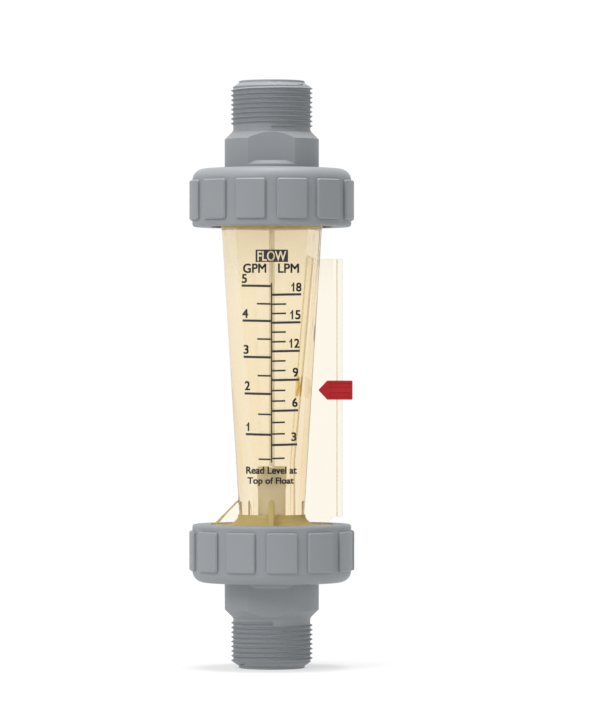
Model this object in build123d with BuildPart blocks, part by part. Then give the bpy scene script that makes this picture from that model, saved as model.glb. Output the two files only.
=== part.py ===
from build123d import *
from math import isclose
import os

# In-line flow indicator: a tapered clear tube with a float on a guide rod, held between two pipe
# adapters by union nuts, with a fin along its side that carries a sliding pointer.
# Frame: millimetres, origin at the centre of the lower pipe end, Z up along the flow axis,
# scale facing -Y, fin on +X.

# Driving dimensions of the whole stack
overall_height = 190.6
nut_seat_height = 32.55         # pipe end to the collar face that the nut pulls on
nut_height = 18.85
lower_nut_slack = 0.7           # how far the lower nut hangs below its seat

# Pipe adapter
thread_radius = 13.33           # outside of the three-quarter inch pipe thread
neck_radius = 12.5
end_ring_radius = 10.7
end_ring_height = 0.7
end_ring_rounding = 0.3
lead_cone_height = 1.75
spigot_length = 14.6            # pipe end to the last full thread
runout_height = 0.8
neck_height = 16.2              # pipe end to the start of the shoulder cone
neck_rounding = 1.6
adapter_radius = 15.3
flow_bore_radius = 8.6
flat_distance = 13.3            # axis to each wrench flat
flat_end_height = 26.2          # pipe end to the ledge that ends the flats
ledge_chamfer = 1.2
collar_radius = 19.3
collar_thickness = 4.0

# Face seal
seal_circle_radius = 16.2
seal_section_radius = 1.05
seal_groove_play = 0.15         # each side of the ring
seal_depth_play = 0.04          # ring to the mating face

# Union nut
nut_radius = 25.8
nut_shoulder_thickness = 4.0
nut_shoulder_rounding = 3.8
nut_rim_rounding = 0.9
nut_hole_play = 0.35            # adapter to the hole in the shoulder
grip_count = 12
grip_radius = 26.8
grip_angle = 22.0
grip_height = 12.95
grip_rim_gap = 2.1              # open rim to the grips
grip_corner = 0.9
grip_edge = 0.4
upper_nut_turn = 15.0           # where the first grip stands, from the front
lower_nut_turn = 7.6

# Meter body
body_end_radius = 19.6
union_thread_play = 0.3         # body end to the nut's bore
body_end_length = 10.05         # seal face to the flange face that shows in the nut
body_end_chamfer = 0.5
tube_radius_low = 10.4
tube_radius_high = 16.4
bore_radius_low = 6.1
bore_radius_high = 12.5
straight_bore_length = 31.0     # seal face to the start of the taper
low_flange_rounding = 3.0
high_flange_rounding = 1.2
low_socket_radius = 10.0
high_socket_radius = 13.7
socket_depth = 4.0

# Gussets at the foot of the tube
gusset_thickness = 2.0
gusset_height = 8.1
gusset_rim_gap = 0.7            # gusset toe to the edge of the flange
gusset_edge_rounding = 0.85
gusset_turns = (90.0, 180.0, 270.0)

# Fin and its rail
fin_thickness = 2.0
fin_reach = 22.95               # axis to the outer edge of the rail
fin_height = 86.2               # flange face to the top edge
fin_root_depth = 1.6            # how deep the fin is fused into the tube wall
rail_width = 1.8
rail_thickness = 3.0
rail_corner = 0.5
rail_end_gap = 2.6              # flange face to the lower end of the rail
notch_radius = 3.2
notch_centre_out = 21.4         # axis to the centre of the notch
notch_centre_drop = 0.6         # flange face down to the centre of the notch
rail_relief_depth = 9.0         # how far below its end the rail's line is cleared

# Sliding pointer
pointer_height = 6.2
pointer_tip_reach = 15.1        # axis to the point of the arrow
pointer_shoulder_reach = 18.0
pointer_outer_reach = 26.2
pointer_wall = 1.15             # outside the rail
pointer_play = 0.15
pointer_rest_height = 90.2
pointer_corner = 0.35
pocket_length = 6.8
pocket_height = 1.6
pocket_depth = 0.35
pocket_spacing = 3.1
pocket_end_gap = 0.75           # outer end of the pointer to the pockets

# Guide rod, its holders and the float
rod_radius = 0.95
rod_end_gap = 0.8               # holder face to the end of the rod
holder_thickness = 3.6
holder_play = 0.05
holder_rim_width = 2.2
holder_hub_radius = 2.5
holder_arm_width = 1.5
holder_arm_count = 3
stop_radius = 2.6
stop_height = 2.2
stop_rounding = 0.5
float_head_radius = 4.75
float_body_radius = 4.5
float_head_height = 6.9
float_top_height = 65.8         # pipe end to the top of the resting float
float_bore_play = 0.1
float_edge_chamfer = 0.4

# Printed scale on the front of the tube
ink_thickness = 0.08
ink_gap = 0.02
scale_line_width = 0.44
scale_line_low = 66.9
scale_line_high = 124.8
major_width = 0.74
minor_width = 0.56
mark_rise = 1.3                 # degrees that each mark climbs away from the centre line
major_reach_low = 8.1           # centre line to the outer end of a mark
major_reach_high = 9.7
minor_reach_low = 4.2
minor_reach_high = 4.8
gallon_majors = (75.85, 89.0, 100.8, 112.5, 123.75)
gallon_minors = (67.9, 82.4, 94.85, 106.65, 118.0)
litre_majors = (72.55, 83.55, 93.45, 102.75, 111.95, 120.95)
litre_minors = (68.2, 76.1, 79.8, 86.7, 90.1, 96.5, 99.6, 105.8, 108.9, 114.9, 117.9)

# Heights that follow from the dimensions above
seal_height = nut_seat_height + collar_thickness
flange_height = seal_height + body_end_length
high_seal_height = overall_height - seal_height
high_flange_height = overall_height - flange_height
nut_bore_radius = body_end_radius + union_thread_play

lower_end = Plane(origin=(0, 0, 0), x_dir=(1, 0, 0), z_dir=(0, 0, 1))
upper_end = Plane(origin=(0, 0, overall_height), x_dir=(-1, 0, 0), z_dir=(0, 0, -1))


def section_plane(end):
    """The plane that holds a turned profile: radius along x, distance from the pipe end along y."""
    return Plane(origin=end.origin, x_dir=end.x_dir, z_dir=-end.y_dir)


def turning_axis(end):
    return Axis(end.origin, end.z_dir)


def tube_radius(height):
    """Outside radius of the tapered tube at a height above the pipe end."""
    rise = (height - flange_height) / (high_flange_height - flange_height)
    return tube_radius_low + rise * (tube_radius_high - tube_radius_low)


def pipe_adapter(end):
    """Turned tail piece: threaded spigot, wrench flats, flow bore and sealing collar."""
    section = section_plane(end)
    cone_height = adapter_radius - neck_radius
    flat_depth = adapter_radius - flat_distance
    groove_depth = 2 * seal_section_radius + seal_depth_play
    with BuildPart() as adapter:
        with BuildSketch(section):
            with BuildLine():
                Polyline(
                    (flow_bore_radius, 0),
                    (end_ring_radius, 0),
                    (end_ring_radius, end_ring_height),
                    (thread_radius, end_ring_height + lead_cone_height),
                    (thread_radius, spigot_length),
                    (neck_radius, spigot_length + runout_height),
                    (neck_radius, neck_height),
                    (adapter_radius, neck_height + cone_height),
                    (adapter_radius, nut_seat_height),
                    (collar_radius, nut_seat_height),
                    (collar_radius, seal_height),
                    (flow_bore_radius, seal_height),
                    close=True,
                )
            make_face()
            fillet(vertices().sort_by_distance((neck_radius, neck_height))[0], neck_rounding)
            fillet(vertices().sort_by_distance((end_ring_radius, 0))[0], end_ring_rounding)
        revolve(axis=turning_axis(end))
        with BuildSketch(section):
            with Locations((seal_circle_radius, seal_height - groove_depth / 2)):
                Rectangle(2 * (seal_section_radius + seal_groove_play), groove_depth)
        revolve(axis=turning_axis(end), mode=Mode.SUBTRACT)
        with BuildSketch(end.offset(flat_end_height)):
            with Locations((0, flat_distance + flat_depth), (0, -flat_distance - flat_depth)):
                Rectangle(2 * adapter_radius, 2 * flat_depth)
        extrude(amount=neck_height - neck_rounding - flat_end_height, mode=Mode.SUBTRACT)
        ledge = end.offset(flat_end_height).origin.Z
        arcs = edges().filter_by(GeomType.CIRCLE)
        chamfer(arcs.filter_by(lambda arc: isclose(arc.center().Z, ledge)), ledge_chamfer)
    return adapter


def seal_ring(end):
    """Rubber ring in the groove of an adapter's collar."""
    ring_height = seal_height - seal_section_radius - seal_depth_play
    with BuildPart() as ring:
        with BuildSketch(section_plane(end)):
            with Locations((seal_circle_radius, ring_height)):
                Circle(seal_section_radius)
        revolve(axis=turning_axis(end))
    return ring


def union_nut(end, first_grip_angle, slack):
    """Moulded nut with a rounded shoulder and a ring of raised grips, at rest slack below its seat."""
    section = section_plane(end)
    seat_height = nut_seat_height - slack
    face_height = seat_height - nut_shoulder_thickness
    rim_height = face_height + nut_height
    grip_top = rim_height - grip_rim_gap
    with BuildPart() as grip:
        with BuildSketch(section):
            with Locations((nut_radius, grip_top - grip_height / 2)):
                Rectangle(2 * (grip_radius - nut_radius), grip_height)
        revolve(axis=turning_axis(end), revolution_arc=grip_angle)
        fillet(edges().filter_by(GeomType.LINE).filter_by(Axis.Z, reverse=True), grip_corner)
        chamfer(faces().sort_by(lambda face: face.area)[-1].edges(), grip_edge)
    turned_grip = grip.part.rotate(turning_axis(end), first_grip_angle - grip_angle / 2)
    with BuildPart() as nut:
        with BuildSketch(section):
            with BuildLine():
                Polyline(
                    (adapter_radius + nut_hole_play, face_height),
                    (nut_radius, face_height),
                    (nut_radius, rim_height),
                    (nut_bore_radius, rim_height),
                    (nut_bore_radius, seat_height),
                    (adapter_radius + nut_hole_play, seat_height),
                    close=True,
                )
            make_face()
            fillet(vertices().sort_by_distance((nut_radius, face_height))[0], nut_shoulder_rounding)
            fillet(vertices().sort_by_distance((nut_radius, rim_height))[0], nut_rim_rounding)
        revolve(axis=turning_axis(end))
        with PolarLocations(0, grip_count):
            add(turned_grip)
    return nut


def meter_body_profile():
    """Half section of the turned form: threaded ends, tapered tube and its tapered bore."""
    taper_start = seal_height + straight_bore_length
    Polyline(
        (bore_radius_low, seal_height + socket_depth),
        (low_socket_radius, seal_height + socket_depth),
        (low_socket_radius, seal_height),
        (body_end_radius, seal_height),
        (body_end_radius, flange_height),
        (tube_radius_low, flange_height),
        (tube_radius_high, high_flange_height),
        (body_end_radius, high_flange_height),
        (body_end_radius, high_seal_height),
        (high_socket_radius, high_seal_height),
        (high_socket_radius, high_seal_height - socket_depth),
        (bore_radius_high, high_seal_height - socket_depth),
        (bore_radius_low, taper_start),
        close=True,
    )


with BuildPart() as gusset:
    with BuildSketch(Plane.XZ):
        toe_reach = body_end_radius - gusset_rim_gap
        root_reach = tube_radius_low - fin_root_depth
        with BuildLine():
            Polyline(
                (root_reach, flange_height - fin_root_depth),
                (toe_reach, flange_height - fin_root_depth),
                (toe_reach, flange_height),
                (tube_radius(flange_height + gusset_height), flange_height + gusset_height),
                (root_reach, flange_height + gusset_height),
                close=True,
            )
        make_face()
    extrude(amount=gusset_thickness / 2, both=True)
    slope = faces().sort_by(lambda face: abs(face.normal_at().X * face.normal_at().Z))[-1]
    fillet(slope.edges().filter_by(Axis.Y, reverse=True), gusset_edge_rounding)


with BuildPart() as meter_body:
    with BuildSketch(Plane.XZ):
        with BuildLine():
            meter_body_profile()
        make_face()
        low_corner = vertices().sort_by_distance((tube_radius_low, flange_height))[0]
        fillet(low_corner, low_flange_rounding)
        high_corner = vertices().sort_by_distance((tube_radius_high, high_flange_height))[0]
        fillet(high_corner, high_flange_rounding)
        ends = [
            vertices().sort_by_distance((body_end_radius, height))[0]
            for height in (seal_height, flange_height, high_flange_height, high_seal_height)
        ]
        chamfer(ends, body_end_chamfer)
    revolve(axis=Axis.Z)
    for turn in gusset_turns:
        add(gusset.part.rotate(Axis.Z, turn))
    fin_top = flange_height + fin_height
    rail_low = flange_height + rail_end_gap
    with BuildSketch(Plane.XZ):
        with BuildLine():
            Polyline(
                (tube_radius_low - fin_root_depth, flange_height - fin_root_depth),
                (fin_reach, flange_height - fin_root_depth),
                (fin_reach, fin_top),
                (tube_radius(fin_top) - fin_root_depth, fin_top),
                close=True,
            )
        make_face()
        with Locations((notch_centre_out, flange_height - notch_centre_drop)):
            Circle(notch_radius, mode=Mode.SUBTRACT)
        with Locations((fin_reach, rail_low)):
            Rectangle(
                fin_reach - notch_centre_out, rail_relief_depth, align=(Align.MAX, Align.MAX),
                mode=Mode.SUBTRACT,
            )
    extrude(amount=fin_thickness / 2, both=True)
    with BuildSketch(Plane.XY.offset(rail_low)):
        with Locations((fin_reach, 0)):
            RectangleRounded(
                rail_width, rail_thickness, rail_corner, align=(Align.MAX, Align.CENTER)
            )
    extrude(amount=fin_top - rail_low)


def rod_holder(end, socket_radius, port_radius):
    """Spoked ring that centres the guide rod in a socket of the meter body."""
    seat = seal_height + socket_depth
    with BuildPart() as holder:
        with BuildSketch(end.offset(seat - holder_thickness)):
            Circle(socket_radius - holder_play)
            Circle(port_radius, mode=Mode.SUBTRACT)
            Circle(holder_hub_radius)
            with PolarLocations(0, holder_arm_count):
                Rectangle(port_radius + holder_play, holder_arm_width, align=(Align.MIN, Align.CENTER))
            Circle(rod_radius + holder_play, mode=Mode.SUBTRACT)
        extrude(amount=holder_thickness)
    return holder


def float_stop(end):
    """Rubber bush on the rod that cushions the float against the holder."""
    seat = seal_height + socket_depth
    with BuildPart() as bush:
        with BuildSketch(end.offset(seat)):
            Circle(stop_radius)
            Circle(rod_radius + holder_play, mode=Mode.SUBTRACT)
        extrude(amount=stop_height)
        rim = faces().sort_by(Axis.Z)[-1 if end.z_dir.Z > 0 else 0].edges().sort_by(SortBy.RADIUS)[-1]
        fillet(rim, stop_rounding)
    return bush


rod_low = seal_height + socket_depth - holder_thickness + rod_end_gap
with BuildPart() as guide_rod:
    with BuildSketch(Plane.XY.offset(rod_low)):
        Circle(rod_radius)
    extrude(amount=overall_height - 2 * rod_low)

float_low = seal_height + socket_depth + stop_height
with BuildPart() as float_piece:
    with BuildSketch(Plane.XZ):
        with BuildLine():
            Polyline(
                (rod_radius + float_bore_play, float_low),
                (float_body_radius, float_low),
                (float_body_radius, float_top_height - float_head_height),
                (float_head_radius, float_top_height - float_head_height),
                (float_head_radius, float_top_height),
                (rod_radius + float_bore_play, float_top_height),
                close=True,
            )
        make_face()
        rims = [
            vertices().sort_by_distance(point)[0]
            for point in ((float_body_radius, float_low), (float_head_radius, float_top_height))
        ]
        chamfer(rims, float_edge_chamfer)
    revolve(axis=Axis.Z)

cavity_half = rail_thickness / 2 + pointer_play
slot_half = fin_thickness / 2 + pointer_play
pointer_half = cavity_half + pointer_wall
pointer_low = pointer_rest_height - pointer_height / 2
pointer_top = pointer_rest_height + pointer_height / 2
with BuildPart() as flow_pointer:
    with BuildSketch(Plane.XZ.offset(-pointer_half)):
        with BuildLine():
            Polyline(
                (pointer_tip_reach, pointer_rest_height),
                (pointer_shoulder_reach, pointer_top),
                (pointer_outer_reach, pointer_top),
                (pointer_outer_reach, pointer_low),
                (pointer_shoulder_reach, pointer_low),
                close=True,
            )
        make_face()
    extrude(amount=2 * pointer_half)
    fillet(edges().filter_by(Axis.Y), pointer_corner)
    with BuildSketch(Plane.XY.offset(pointer_low)):
        with Locations((fin_reach - rail_width - pointer_play, 0)):
            Rectangle(pointer_outer_reach, 2 * slot_half, align=(Align.MAX, Align.CENTER))
            Rectangle(
                rail_width + 2 * pointer_play, 2 * cavity_half, align=(Align.MIN, Align.CENTER)
            )
    extrude(amount=pointer_height, mode=Mode.SUBTRACT)
    for side in (1, -1):
        with BuildSketch(Plane.XZ.offset(side * pointer_half)):
            for step in (pocket_spacing / 2, -pocket_spacing / 2):
                with Locations((pointer_outer_reach - pocket_end_gap, pointer_rest_height + step)):
                    Rectangle(pocket_length, pocket_height, align=(Align.MAX, Align.CENTER))
        extrude(amount=-side * pocket_depth, mode=Mode.SUBTRACT)


def ink_band():
    """Thin conical skin just off the tube, as high as the printed scale."""
    low = scale_line_low
    high = scale_line_high
    Polyline(
        (tube_radius(low) + ink_gap, low),
        (tube_radius(low) + ink_gap + ink_thickness, low),
        (tube_radius(high) + ink_gap + ink_thickness, high),
        (tube_radius(high) + ink_gap, high),
        close=True,
    )


def mark_reach(height, low_reach, high_reach):
    rise = (height - scale_line_low) / (scale_line_high - scale_line_low)
    return low_reach + rise * (high_reach - low_reach)


def scale_marks(majors, minors, side):
    """Printed marks on one side of the centre line; side is -1 on the left and 1 on the right."""
    with BuildPart() as marks:
        with BuildSketch(Plane.XZ):
            with BuildLine():
                ink_band()
            make_face()
        revolve(axis=Axis.Z)
        with BuildSketch(Plane.XZ):
            for heights, width, reaches in (
                (majors, major_width, (major_reach_low, major_reach_high)),
                (minors, minor_width, (minor_reach_low, minor_reach_high)),
            ):
                for height in heights:
                    length = mark_reach(height, *reaches) - scale_line_width / 2 - ink_gap
                    start = side * (scale_line_width / 2 + ink_gap)
                    with Locations(Location((start, height), side * mark_rise)):
                        Rectangle(
                            length, width,
                            align=(Align.MIN if side > 0 else Align.MAX, Align.CENTER),
                        )
        extrude(amount=body_end_radius, mode=Mode.INTERSECT)
    return marks


with BuildPart() as scale_line:
    with BuildSketch(Plane.XZ):
        with BuildLine():
            ink_band()
        make_face()
    revolve(axis=Axis.Z)
    with BuildSketch(Plane.XZ):
        with Locations((0, (scale_line_low + scale_line_high) / 2)):
            Rectangle(scale_line_width, scale_line_high - scale_line_low)
    extrude(amount=body_end_radius, mode=Mode.INTERSECT)

pieces = {
    "lower_pipe_adapter": pipe_adapter(lower_end),
    "upper_pipe_adapter": pipe_adapter(upper_end),
    "lower_seal_ring": seal_ring(lower_end),
    "upper_seal_ring": seal_ring(upper_end),
    "lower_union_nut": union_nut(lower_end, lower_nut_turn, lower_nut_slack),
    "upper_union_nut": union_nut(upper_end, upper_nut_turn, 0),
    "meter_body": meter_body,
    "lower_rod_holder": rod_holder(lower_end, low_socket_radius, low_socket_radius - holder_rim_width),
    "upper_rod_holder": rod_holder(upper_end, high_socket_radius, high_socket_radius - holder_rim_width),
    "lower_float_stop": float_stop(lower_end),
    "upper_float_stop": float_stop(upper_end),
    "guide_rod": guide_rod,
    "float": float_piece,
    "flow_pointer": flow_pointer,
    "scale_line": scale_line,
    "gallon_marks": scale_marks(gallon_majors, gallon_minors, -1),
    "litre_marks": scale_marks(litre_majors, litre_minors, 1),
}

os.makedirs("parts", exist_ok=True)
for name, piece in pieces.items():
    piece.part.label = name
    export_step(piece.part, f"parts/{name}.step")
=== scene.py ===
import math

import bpy
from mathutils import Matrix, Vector


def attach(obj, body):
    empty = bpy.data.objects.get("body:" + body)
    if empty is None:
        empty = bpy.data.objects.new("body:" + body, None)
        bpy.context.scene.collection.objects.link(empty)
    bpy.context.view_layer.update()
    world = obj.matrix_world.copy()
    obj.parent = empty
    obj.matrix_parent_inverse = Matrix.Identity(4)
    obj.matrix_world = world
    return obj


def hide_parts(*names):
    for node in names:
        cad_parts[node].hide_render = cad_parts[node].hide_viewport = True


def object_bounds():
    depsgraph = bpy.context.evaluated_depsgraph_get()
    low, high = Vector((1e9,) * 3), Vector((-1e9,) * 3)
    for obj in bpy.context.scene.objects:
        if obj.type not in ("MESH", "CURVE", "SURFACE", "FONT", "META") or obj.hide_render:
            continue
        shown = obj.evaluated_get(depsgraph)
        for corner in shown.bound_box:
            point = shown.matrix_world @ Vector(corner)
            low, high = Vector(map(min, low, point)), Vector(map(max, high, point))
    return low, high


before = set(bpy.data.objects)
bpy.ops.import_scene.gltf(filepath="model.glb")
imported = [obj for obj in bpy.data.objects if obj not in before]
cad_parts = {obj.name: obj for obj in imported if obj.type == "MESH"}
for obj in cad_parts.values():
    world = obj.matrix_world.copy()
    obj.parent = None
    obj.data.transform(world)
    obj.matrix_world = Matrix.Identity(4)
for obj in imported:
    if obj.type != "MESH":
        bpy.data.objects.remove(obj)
cad_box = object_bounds()

# The studio. The meter stands on its lower pipe end on a white table in even white light, with a
# soft key light from the upper left and a smaller one straight above. A long lens looks at it
# level, from about half its height.
overall_height = cad_box[1].z
view_width = 611                # size of the picture, in pixels
view_height = 723
pixel_size = 0.00032486         # one pixel at the meter's axis, in metres
focal_pixels = 4900.0
axis_pixel_x = 271.8            # where the axis and the table stand in the picture
table_pixel_y = 667.75
table_radius = 0.5
table_grey = 0.36               # how much light the table throws back, and how much it gives
table_glow = 0.53
room_light = 0.62               # the white room, as matt faces see it
backdrop_light = 1.01           # and as the lens, gloss and glass see it
white = (1, 1, 1, 1)
lamps = (
    # name, place, size, power
    ("key_light", (-0.9, -1.1, 1.2), 0.9, 14.0),
    ("top_light", (0.0, 0.0, 1.6), 0.55, 20.0),
)

bpy.ops.object.select_all(action="DESELECT")
bpy.ops.object.camera_add(
    location=(
        (view_width / 2 - axis_pixel_x) * pixel_size,
        -focal_pixels * pixel_size,
        (table_pixel_y - view_height / 2) * pixel_size,
    ),
    rotation=(math.pi / 2, 0, 0),
)
camera = bpy.context.object
camera.data.sensor_width = 36.0
camera.data.lens = focal_pixels * camera.data.sensor_width / view_height
camera.data.clip_end = 20.0
bpy.context.scene.camera = camera
bpy.context.scene.view_settings.view_transform = "Standard"

bpy.ops.mesh.primitive_circle_add(vertices=96, radius=table_radius, fill_type="NGON")
table = bpy.context.object
table.name = "white_table"
paint = bpy.data.materials.new("white_paint")
paint.use_nodes = True
coat = paint.node_tree.nodes["Principled BSDF"]
coat.inputs["Base Color"].default_value = (table_grey, table_grey, table_grey, 1)
coat.inputs["Roughness"].default_value = 0.9
coat.inputs["Specular IOR Level"].default_value = 0.1
coat.inputs["Emission Color"].default_value = white
coat.inputs["Emission Strength"].default_value = table_glow
table.data.materials.append(paint)

room = bpy.data.worlds.new("white_room")
bpy.context.scene.world = room
room.use_nodes = True
air = room.node_tree
soft_light = air.nodes["Background"]
soft_light.inputs["Color"].default_value = white
soft_light.inputs["Strength"].default_value = room_light
backdrop = air.nodes.new("ShaderNodeBackground")
backdrop.inputs["Color"].default_value = white
backdrop.inputs["Strength"].default_value = backdrop_light
ray = air.nodes.new("ShaderNodeLightPath")
either = air.nodes.new("ShaderNodeMixShader")
air.links.new(ray.outputs["Is Diffuse Ray"], either.inputs["Fac"])
air.links.new(backdrop.outputs["Background"], either.inputs[1])
air.links.new(soft_light.outputs["Background"], either.inputs[2])
air.links.new(either.outputs["Shader"], air.nodes["World Output"].inputs["Surface"])

for name, place, size, power in lamps:
    bpy.ops.object.light_add(type="AREA", location=place)
    lamp = bpy.context.object
    lamp.name = name
    lamp.data.size = size
    lamp.data.energy = power
    toward_meter = Vector((0, 0, overall_height / 2)) - lamp.location
    lamp.rotation_euler = toward_meter.to_track_quat("-Z", "Y").to_euler()


# The pipe adapters, moulded in grey plastic: a male pipe thread, a neck, two wrench flats and the
# collar that the nut pulls on. The thread is one ridge wound round the spigot. Its first turns are
# cut back by the lead cone, and its last turn ends at the front in a rounded nose.
def moulded(name, colour, roughness, mottle, grain_scale, grain_depth, shine=0.5):
    """Moulded plastic: a faint mottle in its colour and gloss, and a fine grain from the mould."""
    mottle_scale = 55.0
    gloss_spread = 0.05
    material = bpy.data.materials.new(name)
    material.use_nodes = True
    tree = material.node_tree
    shader = tree.nodes["Principled BSDF"]
    shader.inputs["Specular IOR Level"].default_value = shine
    place = tree.nodes.new("ShaderNodeTexCoord")
    cloud = tree.nodes.new("ShaderNodeTexNoise")
    cloud.inputs["Scale"].default_value = mottle_scale
    cloud.inputs["Detail"].default_value = 4.0
    tree.links.new(place.outputs["Object"], cloud.inputs["Vector"])
    tint = tree.nodes.new("ShaderNodeMix")
    tint.data_type = "RGBA"
    tint.inputs["A"].default_value = tuple(c * (1 - mottle) for c in colour) + (1,)
    tint.inputs["B"].default_value = tuple(c * (1 + mottle) for c in colour) + (1,)
    tree.links.new(cloud.outputs["Fac"], tint.inputs["Factor"])
    tree.links.new(tint.outputs["Result"], shader.inputs["Base Color"])
    gloss = tree.nodes.new("ShaderNodeMapRange")
    gloss.inputs["To Min"].default_value = roughness - gloss_spread
    gloss.inputs["To Max"].default_value = roughness + gloss_spread
    tree.links.new(cloud.outputs["Fac"], gloss.inputs["Value"])
    tree.links.new(gloss.outputs["Result"], shader.inputs["Roughness"])
    grain = tree.nodes.new("ShaderNodeTexNoise")
    grain.inputs["Scale"].default_value = grain_scale
    grain.inputs["Detail"].default_value = 2.0
    tree.links.new(place.outputs["Object"], grain.inputs["Vector"])
    relief = tree.nodes.new("ShaderNodeBump")
    relief.inputs["Strength"].default_value = 1.0
    relief.inputs["Distance"].default_value = grain_depth
    tree.links.new(grain.outputs["Fac"], relief.inputs["Height"])
    tree.links.new(relief.outputs["Normal"], shader.inputs["Normal"])
    return material


def finish_in(piece, material):
    """Gives a piece one material all over."""
    piece.data.materials.clear()
    piece.data.materials.append(material)


def pick(piece):
    """Selects one piece alone and makes it the active one."""
    bpy.ops.object.select_all(action="DESELECT")
    piece.select_set(True)
    bpy.context.view_layer.objects.active = piece


def copy_of(source, name):
    """A new piece with a copy of another piece's mesh, its loose triangles merged."""
    pick(source)
    bpy.ops.object.duplicate()
    piece = bpy.context.object
    piece.name = name
    piece.data.name = name
    bpy.ops.object.transform_apply(location=True, rotation=True, scale=True)
    bpy.ops.mesh.customdata_custom_splitnormals_clear()
    bpy.ops.object.mode_set(mode="EDIT")
    bpy.ops.mesh.select_all(action="SELECT")
    bpy.ops.mesh.remove_doubles(threshold=0.000001)
    bpy.ops.object.mode_set(mode="OBJECT")
    return piece


def combine(piece, tool, operation):
    """Cuts a tool's form out of a piece, joins it on or keeps what they share; the tool goes."""
    pick(piece)
    step = piece.modifiers.new(operation, "BOOLEAN")
    step.operation = operation
    step.solver = "EXACT"
    step.object = tool
    bpy.ops.object.modifier_apply(modifier=step.name)
    bpy.data.objects.remove(tool)


def ring(inner, outer, low, high):
    """A plain tube round the axis."""
    height = high - low
    middle = (0, 0, (low + high) / 2)
    bpy.ops.object.select_all(action="DESELECT")
    bpy.ops.mesh.primitive_cylinder_add(
        vertices=round_sides, radius=inner, depth=2 * height, location=middle
    )
    core = bpy.context.object
    bpy.ops.mesh.primitive_cylinder_add(
        vertices=round_sides, radius=outer, depth=height, location=middle
    )
    tube = bpy.context.object
    combine(tube, core, "DIFFERENCE")
    return tube


def wound_ridge(crest, reach, half_width, low, pitch, turns, steps):
    """A right-hand thread ridge of diamond section that starts and ends at the front."""
    bpy.ops.object.select_all(action="DESELECT")
    bpy.ops.mesh.primitive_circle_add(
        vertices=4, radius=1, location=(0, reach - crest, low), rotation=(0, math.pi / 2, 0)
    )
    wire = bpy.context.object
    wire.scale = (half_width, reach, 1)
    bpy.ops.object.transform_apply(location=True, rotation=True, scale=True)
    winding = wire.modifiers.new("winding", "SCREW")
    winding.axis = "Z"
    winding.angle = 2 * math.pi
    winding.screw_offset = pitch
    winding.iterations = turns
    winding.steps = steps
    winding.render_steps = steps
    winding.use_merge_vertices = False
    bpy.ops.object.modifier_apply(modifier=winding.name)
    bpy.ops.object.mode_set(mode="EDIT")
    bpy.ops.mesh.select_all(action="SELECT")
    bpy.ops.mesh.fill_holes(sides=4)
    bpy.ops.mesh.select_all(action="SELECT")
    bpy.ops.mesh.normals_make_consistent(inside=False)
    bpy.ops.object.mode_set(mode="OBJECT")
    return wire


def smooth(piece, angle):
    """Smooth shading that keeps edges sharper than an angle crisp and flat faces flat."""
    pick(piece)
    bpy.ops.object.shade_smooth_by_angle(angle=math.radians(angle), keep_sharp_edges=False)
    even = piece.modifiers.new("even", "WEIGHTED_NORMAL")
    even.keep_sharp = True
    bpy.ops.object.modifier_apply(modifier=even.name)


thread_crest = 0.01333          # radius of the thread's crests
thread_root = 0.01252           # radius of the spigot between them
thread_pitch = 0.001525
thread_turns = 10
thread_end = 0.0150             # height of the ridge's nose above the pipe end
ridge_reach = 0.0011            # half the diamond's depth and width
ridge_half_width = 0.00062
spigot_top = 0.01545
lead_radius = 0.0107            # the lead cone, at the pipe end's ring
lead_height = 0.0007
lead_slope = 1.503
cut_reach = 0.0150              # the tube that pares the spigot down to the thread's root
cut_foot = -0.001
round_sides = 128               # facets of a round tool, of a thread turn and of the ridge's nose
turn_steps = 96
nose_sides = 24
crisp_angle = 28                # edges sharper than this stay crisp, in degrees

grey_plastic = moulded(
    "grey_plastic", (0.256, 0.272, 0.286), 0.52, 0.03, 1400.0, 0.000003, shine=0.3
)
lower_adapter = copy_of(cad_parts["lower_pipe_adapter"], "lower_threaded_adapter")
combine(lower_adapter, ring(thread_root, cut_reach, cut_foot, spigot_top), "DIFFERENCE")
thread = wound_ridge(
    thread_crest, ridge_reach, ridge_half_width,
    thread_end - thread_turns * thread_pitch, thread_pitch, thread_turns, turn_steps,
)
bpy.ops.object.select_all(action="DESELECT")
bpy.ops.mesh.primitive_cone_add(
    vertices=round_sides, radius1=lead_radius, radius2=lead_radius + lead_slope * spigot_top,
    depth=spigot_top, location=(0, 0, lead_height + spigot_top / 2),
)
combine(thread, bpy.context.object, "INTERSECT")
bpy.ops.object.select_all(action="DESELECT")
bpy.ops.mesh.primitive_cone_add(
    vertices=nose_sides, radius1=ridge_half_width, radius2=0, depth=ridge_reach,
    location=(0, ridge_reach / 2 - thread_crest, thread_end), rotation=(math.pi / 2, 0, 0),
)
combine(thread, bpy.context.object, "UNION")
combine(lower_adapter, thread, "UNION")
smooth(lower_adapter, crisp_angle)
upper_adapter = copy_of(lower_adapter, "upper_threaded_adapter")
upper_adapter.rotation_mode = "XYZ"
upper_adapter.rotation_euler = (0, math.pi, 0)
upper_adapter.location = (0, 0, overall_height)
bpy.ops.object.transform_apply(location=True, rotation=True, scale=True)
smooth(upper_adapter, crisp_angle)
for adapter, node, body in (
    (lower_adapter, "lower_pipe_adapter", "lower_adapter"),
    (upper_adapter, "upper_pipe_adapter", "upper_adapter"),
):
    finish_in(adapter, grey_plastic)
    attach(adapter, body)
    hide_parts(node)


# The seal rings in the adapters' collars, turned rubber, and the two rubber stops on the rod that
# the float lands on.
black_rubber = moulded("black_rubber", (0.02, 0.02, 0.021), 0.6, 0.15, 2500.0, 0.00002)
for node in ("lower_seal_ring", "upper_seal_ring", "lower_float_stop", "upper_float_stop"):
    finish_in(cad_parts[node], black_rubber)


# The union nuts, moulded in the same grey plastic as the adapters, with twelve raised grips.
for node in ("lower_union_nut", "upper_union_nut"):
    finish_in(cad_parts[node], grey_plastic)


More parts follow.
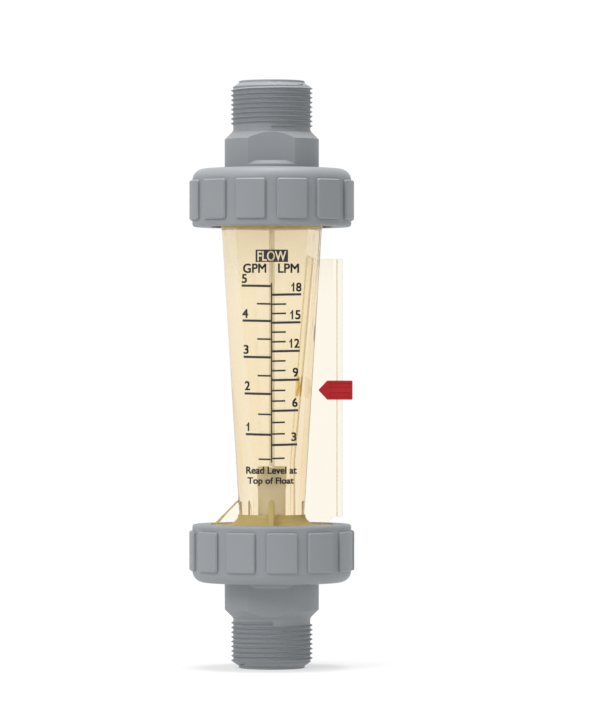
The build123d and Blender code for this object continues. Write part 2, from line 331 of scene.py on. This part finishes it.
# The meter body, one clear amber moulding: the tapered tube with its flanges, the gussets at its
# foot and the fin with its rail. The resin is slightly milky, which shows on its level and sloping
# rims, at the foot and the mouth of the tube, and as two lines along the rail.
def calculated(tree, operation, first, second=None):
    """A sum on one socket, alone or with a number or a second socket."""
    step = tree.nodes.new("ShaderNodeMath")
    step.operation = operation
    tree.links.new(first, step.inputs[0])
    if isinstance(second, float):
        step.inputs[1].default_value = second
    elif second is not None:
        tree.links.new(second, step.inputs[1])
    return step.outputs["Value"]


def ramped(tree, value, start, full, most=1.0, easing="LINEAR"):
    """A socket's value, spread from nought at the start to the most where it is full."""
    ramp = tree.nodes.new("ShaderNodeMapRange")
    ramp.interpolation_type = easing
    ramp.inputs["From Min"].default_value = start
    ramp.inputs["From Max"].default_value = full
    ramp.inputs["To Max"].default_value = most
    tree.links.new(value, ramp.inputs["Value"])
    return ramp.outputs["Result"]


def mixed(tree, share, first, second):
    """Two shaders mixed by a socket, or by a number that is the same all over."""
    mix = tree.nodes.new("ShaderNodeMixShader")
    if isinstance(share, float):
        mix.inputs["Fac"].default_value = share
    else:
        tree.links.new(share, mix.inputs["Fac"])
    tree.links.new(first, mix.inputs[1])
    tree.links.new(second, mix.inputs[2])
    return mix.outputs["Shader"]


resin_index = 1.6
resin_shine = 0.2
resin_tints = ((0.982, 0.945, 0.845, 1), (0.990, 0.955, 0.865, 1))
tint_scale = 70.0
milk_colour = (0.73, 0.61, 0.26, 1)     # milky resin by the light that falls on it
glow_colour = (0.84, 0.69, 0.26, 1)     # and by the light that comes through it
glow_share = 0.4
rim_milk = (0.10, 0.35, 0.85)   # how upright a face's normal starts and ends, and how milky it is
wall_milk = (
    # height where it starts and where it is full, how milky, and how far out from the axis
    (0.0500, 0.0494, 0.75, 0.0110),
    (0.1419, 0.1425, 0.52, 0.0200),
    (0.1180, 0.1425, 0.07, 0.0200),
)
rail_lines = (0.02118, 0.02300)         # how far out they stand
line_milk = (0.00022, 0.00008, 0.4)     # half their width, where they are full, and how milky
painted_trapped_glow_colour = (0.78, 0.62, 0.30, 1)  # painted amber glow, standing in for light that has turned about in the resin
painted_glow_turns = (5.0, 9.0)
depth_colour = (0.85, 0.63, 0.15, 1)    # what a thick wall takes out of the light
depth_density = 40.0

amber = bpy.data.materials.new("amber_clear_plastic")
amber.use_nodes = True
resin = amber.node_tree
clear = resin.nodes["Principled BSDF"]
clear.inputs["Transmission Weight"].default_value = 1.0
clear.inputs["IOR"].default_value = resin_index
clear.inputs["Roughness"].default_value = 0.0
clear.inputs["Specular IOR Level"].default_value = resin_shine
place = resin.nodes.new("ShaderNodeTexCoord")
cloud = resin.nodes.new("ShaderNodeTexNoise")
cloud.inputs["Scale"].default_value = tint_scale
resin.links.new(place.outputs["Object"], cloud.inputs["Vector"])
tint = resin.nodes.new("ShaderNodeMix")
tint.data_type = "RGBA"
tint.inputs["A"].default_value, tint.inputs["B"].default_value = resin_tints
resin.links.new(cloud.outputs["Fac"], tint.inputs["Factor"])
resin.links.new(tint.outputs["Result"], clear.inputs["Base Color"])
milk = resin.nodes.new("ShaderNodeBsdfDiffuse")
milk.inputs["Color"].default_value = milk_colour
glow = resin.nodes.new("ShaderNodeBsdfTranslucent")
glow.inputs["Color"].default_value = glow_colour
cloudy = mixed(resin, glow_share, milk.outputs["BSDF"], glow.outputs["BSDF"])

facing = resin.nodes.new("ShaderNodeSeparateXYZ")
resin.links.new(place.outputs["Normal"], facing.inputs["Vector"])
upright = calculated(resin, "ABSOLUTE", facing.outputs["Z"])
milky = ramped(resin, upright, *rim_milk, "SMOOTHSTEP")
spot = resin.nodes.new("ShaderNodeSeparateXYZ")
resin.links.new(place.outputs["Object"], spot.inputs["Vector"])
level = resin.nodes.new("ShaderNodeCombineXYZ")
resin.links.new(spot.outputs["X"], level.inputs["X"])
resin.links.new(spot.outputs["Y"], level.inputs["Y"])
outward = resin.nodes.new("ShaderNodeVectorMath")
outward.operation = "LENGTH"
resin.links.new(level.outputs["Vector"], outward.inputs[0])
for start, full, most, edge in wall_milk:
    band = ramped(resin, spot.outputs["Z"], start, full, most, "SMOOTHSTEP")
    within = calculated(resin, "LESS_THAN", outward.outputs["Value"], edge)
    milky = calculated(resin, "MAXIMUM", milky, calculated(resin, "MULTIPLY", band, within))
for reach in rail_lines:
    aside = calculated(resin, "SUBTRACT", spot.outputs["X"], reach)
    line = ramped(resin, calculated(resin, "ABSOLUTE", aside), *line_milk)
    milky = calculated(resin, "MAXIMUM", milky, line)
body = mixed(resin, milky, clear.outputs["BSDF"], cloudy)

# Where a ray has turned about five to nine times in the resin, the resin is painted with an amber
# glow in place of the light trapped in it.
painted_trapped_glow = resin.nodes.new("ShaderNodeEmission")
painted_trapped_glow.inputs["Color"].default_value = painted_trapped_glow_colour
turns = resin.nodes.new("ShaderNodeLightPath")
lost = ramped(resin, turns.outputs["Ray Depth"], *painted_glow_turns)
whole = mixed(resin, lost, body, painted_trapped_glow.outputs["Emission"])
resin.links.new(whole, resin.nodes["Material Output"].inputs["Surface"])
depth = resin.nodes.new("ShaderNodeVolumeAbsorption")
depth.inputs["Color"].default_value = depth_colour
depth.inputs["Density"].default_value = depth_density
resin.links.new(depth.outputs["Volume"], resin.nodes["Material Output"].inputs["Volume"])
finish_in(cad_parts["meter_body"], amber)


# The flare at the foot of the tube: the same moulding sweeps out onto the flange in a wide hollow
# curve, a quarter of a hollow ring. It is bedded in the tube's wall and in the flange.
flange_face = 0.0466
flare_radius = 0.0045
flare_inside = 0.0102           # how far it reaches into the wall
flare_height = 0.0032           # up to where it meets the wall's face
tube_foot_radius = 0.0104
bedding = 0.0002                # how far it reaches into the flange
curve_steps = 64
flare_crisp_angle = 40

flare_reach = tube_foot_radius + flare_radius
foot_flare = ring(flare_inside, flare_reach, flange_face - bedding, flange_face + flare_height)
bpy.ops.object.select_all(action="DESELECT")
bpy.ops.mesh.primitive_torus_add(
    major_segments=round_sides, minor_segments=curve_steps,
    major_radius=flare_reach, minor_radius=flare_radius,
    location=(0, 0, flange_face + flare_radius),
)
combine(foot_flare, bpy.context.object, "DIFFERENCE")
foot_flare.name = "foot_flare"
bpy.ops.object.transform_apply(location=True, rotation=True, scale=True)
smooth(foot_flare, flare_crisp_angle)
finish_in(foot_flare, amber)
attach(foot_flare, "meter")


# The rod holders, moulded in pale plastic and pressed into the sockets of the meter body.
holder_plastic = moulded("holder_plastic", (0.7, 0.68, 0.62), 0.4, 0.03, 1400.0, 0.00001)
for node in ("lower_rod_holder", "upper_rod_holder"):
    finish_in(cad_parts[node], holder_plastic)


# The guide rod, drawn in stainless steel, and the float, turned in it: fine marks run round them.
def turned_metal(name, dark, light, roughness):
    """Turned or drawn metal, with marks much finer along the axis than round it."""
    marks_scale = (40.0, 40.0, 4000.0)
    material = bpy.data.materials.new(name)
    material.use_nodes = True
    tree = material.node_tree
    metal = tree.nodes["Principled BSDF"]
    metal.inputs["Metallic"].default_value = 1.0
    metal.inputs["Roughness"].default_value = roughness
    place = tree.nodes.new("ShaderNodeTexCoord")
    squash = tree.nodes.new("ShaderNodeMapping")
    squash.inputs["Scale"].default_value = marks_scale
    tree.links.new(place.outputs["Object"], squash.inputs["Vector"])
    marks = tree.nodes.new("ShaderNodeTexNoise")
    marks.inputs["Scale"].default_value = 1.0
    tree.links.new(squash.outputs["Vector"], marks.inputs["Vector"])
    tint = tree.nodes.new("ShaderNodeMix")
    tint.data_type = "RGBA"
    tint.inputs["A"].default_value = dark
    tint.inputs["B"].default_value = light
    tree.links.new(marks.outputs["Fac"], tint.inputs["Factor"])
    tree.links.new(tint.outputs["Result"], metal.inputs["Base Color"])
    return material


finish_in(
    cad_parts["guide_rod"],
    turned_metal("drawn_steel", (0.74, 0.71, 0.60, 1), (0.82, 0.79, 0.68, 1), 0.3),
)
finish_in(
    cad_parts["float"],
    turned_metal("turned_steel", (0.60, 0.56, 0.40, 1), (0.68, 0.64, 0.47, 1), 0.4),
)


# The pointer, a red moulded clip that slides on the rail of the fin and stays where it is put.
# Seen through more than one face of resin, the clip is painted pale amber instead of red: a
# painted reflection, the look of its image in the tube.
resin_faces = 1.5
painted_image_colour = (0.95, 0.90, 0.30, 1)

red_plastic = moulded("red_plastic", (0.41, 0.007, 0.010), 0.5, 0.05, 1400.0, 0.00001, shine=0.3)
clip = red_plastic.node_tree
through_resin = clip.nodes.new("ShaderNodeLightPath")
deep = calculated(
    clip, "GREATER_THAN", through_resin.outputs["Transmission Depth"], resin_faces
)
# The painted reflection: the clip's image in the tube, pale amber.
painted_image = clip.nodes.new("ShaderNodeBsdfDiffuse")
painted_image.inputs["Color"].default_value = painted_image_colour
red_or_painted_image = mixed(
    clip, deep, clip.nodes["Principled BSDF"].outputs["BSDF"], painted_image.outputs["BSDF"]
)
clip.links.new(red_or_painted_image, clip.nodes["Material Output"].inputs["Surface"])
finish_in(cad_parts["flow_pointer"], red_plastic)


# The scale, printed in black ink on the front of the tube: the centre line and marks are the
# frame's own, and the numerals, the units and the note below are set here from flat lettering,
# laid on the tube as a film.
black_ink = moulded("black_ink", (0.012, 0.011, 0.015), 0.5, 0.2, 1800.0, 0.000004)
for node in ("scale_line", "gallon_marks", "litre_marks"):
    finish_in(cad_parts[node], black_ink)

strikes = ((-1, -1), (-1, 1), (1, -1), (1, 1))      # each word is struck four times
strike = 0.00009                # how far aside, to make it bold
front_plane = -0.03             # where the flat lettering is set before it is laid on
slice_step = 0.0008             # the lettering is sliced upright, so that it bends with the tube
slices_aside = 12
ink_gap = 0.00003
ink_thickness = 0.00005
lettering = (
    # words, left and right edge, foot and top
    ("5", -0.00960, -0.00791, 0.12476, 0.12770),
    ("4", -0.00945, -0.00750, 0.11351, 0.11642),
    ("3", -0.00903, -0.00738, 0.10191, 0.10486),
    ("2", -0.00863, -0.00694, 0.09019, 0.09318),
    ("8", 0.00790, 0.00962, 0.12202, 0.12492),
    ("5", 0.00762, 0.00933, 0.11307, 0.11608),
    ("2", 0.00729, 0.00901, 0.10387, 0.10688),
    ("9", 0.00681, 0.00858, 0.09448, 0.09751),
    ("6", 0.00664, 0.00838, 0.08477, 0.08773),
    ("3", 0.00634, 0.00799, 0.07378, 0.07663),
    ("GPM", -0.00916, -0.00166, 0.12799, 0.13104),
    ("LPM", 0.00211, 0.00886, 0.12801, 0.13104),
    ("Read Level at", -0.00824, 0.00815, 0.06319, 0.06557),
    ("Top of Float", -0.00781, 0.00719, 0.05933, 0.06214),
)
ones = (
    # left and right edge, foot and top of each numeral one
    (-0.00813, -0.00719, 0.07703, 0.07985),
    (0.00641, 0.00735, 0.12202, 0.12492),
    (0.00603, 0.00697, 0.11307, 0.11608),
    (0.00572, 0.00666, 0.10387, 0.10688),
)
one_outline = (
    (0.45, 0.0), (1.0, 0.0), (1.0, 1.0), (0.58, 1.0),
    (0.45, 0.87), (0.25, 0.78), (0.0, 0.72), (0.0, 0.54), (0.22, 0.59), (0.45, 0.69),
)
sign_word = "FLOW"              # the word left clear in the black plate above the units
sign_boldness = -0.00007
sign_edges = (-0.00445, 0.00465, 0.13190, 0.13500)
plate_edges = (-0.00518, 0.00538, 0.13145, 0.13555)


def flat_word(words, left, right, foot, top, target):
    """A word as a flat outline or mesh in the XY plane, fitted to its box."""
    bpy.ops.object.select_all(action="DESELECT")
    bpy.ops.object.text_add()
    word = bpy.context.object
    word.data.body = words
    bpy.ops.object.convert(target=target)
    word = bpy.context.object
    bpy.context.view_layer.update()
    corners = [Vector(corner) for corner in word.bound_box]
    low_x, high_x = min(c.x for c in corners), max(c.x for c in corners)
    low_y, high_y = min(c.y for c in corners), max(c.y for c in corners)
    wide = (right - left) / (high_x - low_x)
    tall = (top - foot) / (high_y - low_y)
    word.scale = (wide, tall, 1)
    bpy.ops.object.transform_apply(location=False, rotation=False, scale=True)
    word.location = (left - low_x * wide, foot - low_y * tall, 0)
    return word


sheets = []
for words, left, right, foot, top in lettering:
    for aside, up in strikes:
        word = flat_word(words, left + strike, right - strike, foot + strike, top - strike, "MESH")
        word.location.x += aside * strike
        word.location.y += up * strike
        sheets.append(word)
for left, right, foot, top in ones:
    bpy.ops.object.select_all(action="DESELECT")
    bpy.ops.mesh.primitive_circle_add(vertices=len(one_outline), fill_type="NGON")
    numeral = bpy.context.object
    for vertex, (across, up) in zip(numeral.data.vertices, one_outline):
        vertex.co = (left + across * (right - left), foot + up * (top - foot), 0)
    sheets.append(numeral)
plate = flat_word(sign_word, *sign_edges, "CURVE")
outline = plate.data.splines.new("POLY")
outline.points.add(3)
left, right, foot, top = plate_edges
for point, corner in zip(outline.points, ((left, foot), (right, foot), (right, top), (left, top))):
    point.co = (corner[0] - plate.location.x, corner[1] - plate.location.y, 0, 1)
outline.use_cyclic_u = True
plate.data.offset = sign_boldness
pick(plate)
bpy.ops.object.convert(target="MESH")
sheets.append(bpy.context.object)
bpy.ops.object.select_all(action="DESELECT")
for sheet in sheets:
    sheet.select_set(True)
bpy.context.view_layer.objects.active = sheets[0]
bpy.ops.object.join()
bpy.ops.object.transform_apply(location=True, rotation=True, scale=True)
print_film = bpy.context.object
print_film.name = "scale_lettering"
print_film.rotation_euler = (math.pi / 2, 0, 0)
print_film.location = (0, front_plane, 0)
bpy.ops.object.transform_apply(location=True, rotation=True, scale=True)
bpy.ops.object.mode_set(mode="EDIT")
for step in range(-slices_aside, slices_aside + 1):
    bpy.ops.mesh.select_all(action="SELECT")
    bpy.ops.mesh.bisect(plane_co=(step * slice_step, 0, 0), plane_no=(1, 0, 0))
bpy.ops.object.mode_set(mode="OBJECT")
lay = print_film.modifiers.new("lay", "SHRINKWRAP")
lay.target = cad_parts["meter_body"]
lay.wrap_method = "PROJECT"
lay.use_project_x = False
lay.use_project_y = True
lay.use_project_z = False
lay.use_negative_direction = False
lay.use_positive_direction = True
lay.offset = ink_gap
film = print_film.modifiers.new("film", "SOLIDIFY")
film.thickness = ink_thickness
film.offset = 1.0
for modifier in ("lay", "film"):
    bpy.ops.object.modifier_apply(modifier=modifier)
finish_in(print_film, black_ink)
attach(print_film, "meter")
